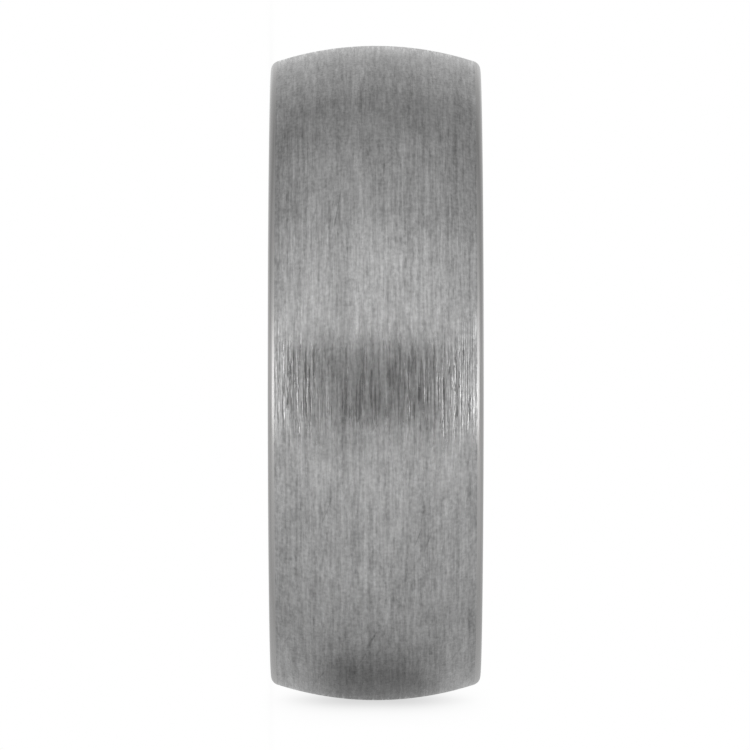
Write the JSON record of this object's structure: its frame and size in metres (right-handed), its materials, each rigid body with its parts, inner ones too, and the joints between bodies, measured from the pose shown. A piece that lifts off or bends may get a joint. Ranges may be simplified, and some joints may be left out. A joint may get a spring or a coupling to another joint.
{
  "type": "wedding band",
  "caption": "Plain domed wedding band with a brushed outer face, softly rounded edges and a comfort-fit finger hole.",
  "frame": {"origin": "centre of the finger hole, midway between the two flanks", "axes": "+Z along the finger's axis, from flank to flank, and up, with the band lying flat on one flank as it does on a table; +X and +Y are two radial directions, and any two would do, because the band is round"},
  "size_m": [0.022, 0.022, 0.007],
  "materials": {
    "brushed_titanium": "grey titanium, brushed round the outer face, with polished rounded edges, turned flanks and a polished finger hole"
  },
  "bodies": {
    "root": {"band": "brushed_titanium"}
  },
  "joints": []
}
